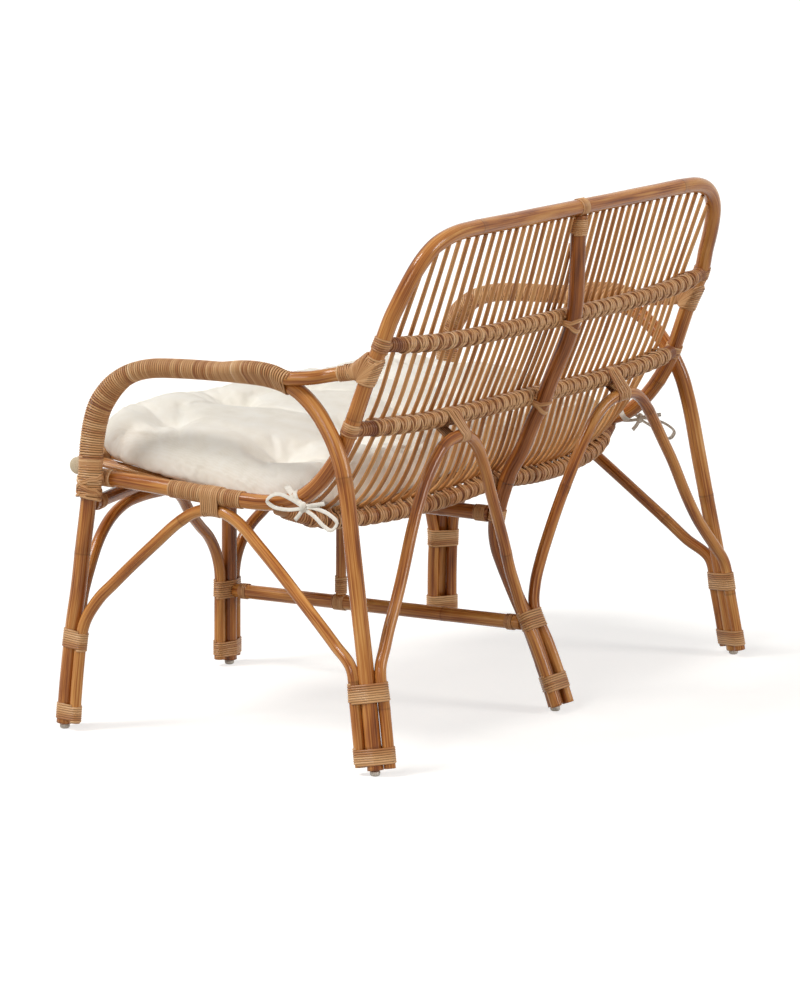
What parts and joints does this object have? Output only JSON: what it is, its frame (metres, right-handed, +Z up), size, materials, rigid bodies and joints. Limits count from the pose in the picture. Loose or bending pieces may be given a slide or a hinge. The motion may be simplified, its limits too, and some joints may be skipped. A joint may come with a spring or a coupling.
{
  "type": "rattan garden sofa",
  "caption": "Low rattan sofa of bent poles lashed with peel, with a bowed mat of thin canes for back and seat and a tufted, tied-on seat cushion.",
  "frame": {"origin": "centre of the footprint, on the floor that the glides stand on", "axes": "+X across the seat towards the sitter's left arm, +Y towards the back, +Z up; the sitter faces -Y"},
  "size_m": [1.116, 0.6982, 0.8212],
  "materials": {
    "rattan_pole": "warm honey-brown rattan pole, satin varnish, darker at the nodes",
    "dark_rattan_pole": "darker brown rattan pole, satin varnish",
    "slat_cane": "thin brown cane, satin varnish",
    "rattan_peel": "split rattan peel wound as lashing, matt to satin",
    "cushion_cotton": "off-white woven cotton cover",
    "cotton_tape": "off-white cotton tape",
    "glide_nylon": "pale nylon glide"
  },
  "bodies": {
    "root": {"back_hoop": "rattan_pole", "side_arch_left": "rattan_pole", "side_arch_right": "rattan_pole", "arm_extension_left": "rattan_pole", "arm_extension_right": "rattan_pole", "side_brace_left": "rattan_pole", "side_brace_right": "rattan_pole", "rear_brace_left": "rattan_pole", "rear_brace_right": "rattan_pole", "front_brace_left": "rattan_pole", "front_brace_right": "rattan_pole", "stretcher": "rattan_pole", "stretcher_strut": "rattan_pole", "back_spine": "dark_rattan_pole", "middle_front_leg": "dark_rattan_pole", "front_lower_rail": "dark_rattan_pole", "seat_centre_rail": "dark_rattan_pole", "slat_mat_left": "slat_cane", "slat_mat_right": "slat_cane", "upper_band": "rattan_peel", "lower_band": "rattan_peel", "seat_band": "rattan_peel", "front_rail": "rattan_peel", "front_leg_upper_lashing_left": "rattan_peel", "front_leg_upper_lashing_right": "rattan_peel", "front_leg_lower_lashing_left": "rattan_peel", "front_leg_lower_lashing_right": "rattan_peel", "rear_leg_upper_lashing_left": "rattan_peel", "rear_leg_upper_lashing_right": "rattan_peel", "rear_leg_lower_lashing_left": "rattan_peel", "rear_leg_lower_lashing_right": "rattan_peel", "seat_rail_binding_left": "rattan_peel", "seat_rail_binding_right": "rattan_peel", "arm_joint_binding_left": "rattan_peel", "arm_joint_binding_right": "rattan_peel", "front_corner_lashing_left": "rattan_peel", "front_corner_lashing_right": "rattan_peel", "arm_winding_left": "rattan_peel", "arm_winding_right": "rattan_peel", "middle_front_leg_upper_lashing": "rattan_peel", "middle_front_leg_lower_lashing": "rattan_peel", "middle_rear_leg_upper_lashing": "rattan_peel", "middle_rear_leg_lower_lashing": "rattan_peel", "spine_top_lashing": "rattan_peel", "spine_upper_lashing": "rattan_peel", "spine_lower_lashing": "rattan_peel", "spine_seat_lashing": "rattan_peel", "strut_foot_lashing": "rattan_peel", "seat_cushion": "cushion_cotton", "cushion_tie_left": "cotton_tape", "cushion_tie_right": "cotton_tape", "front_glide_left": "glide_nylon", "front_glide_right": "glide_nylon", "rear_glide_left": "glide_nylon", "rear_glide_right": "glide_nylon", "middle_front_glide": "glide_nylon", "middle_rear_glide": "glide_nylon"}
  },
  "joints": []
}
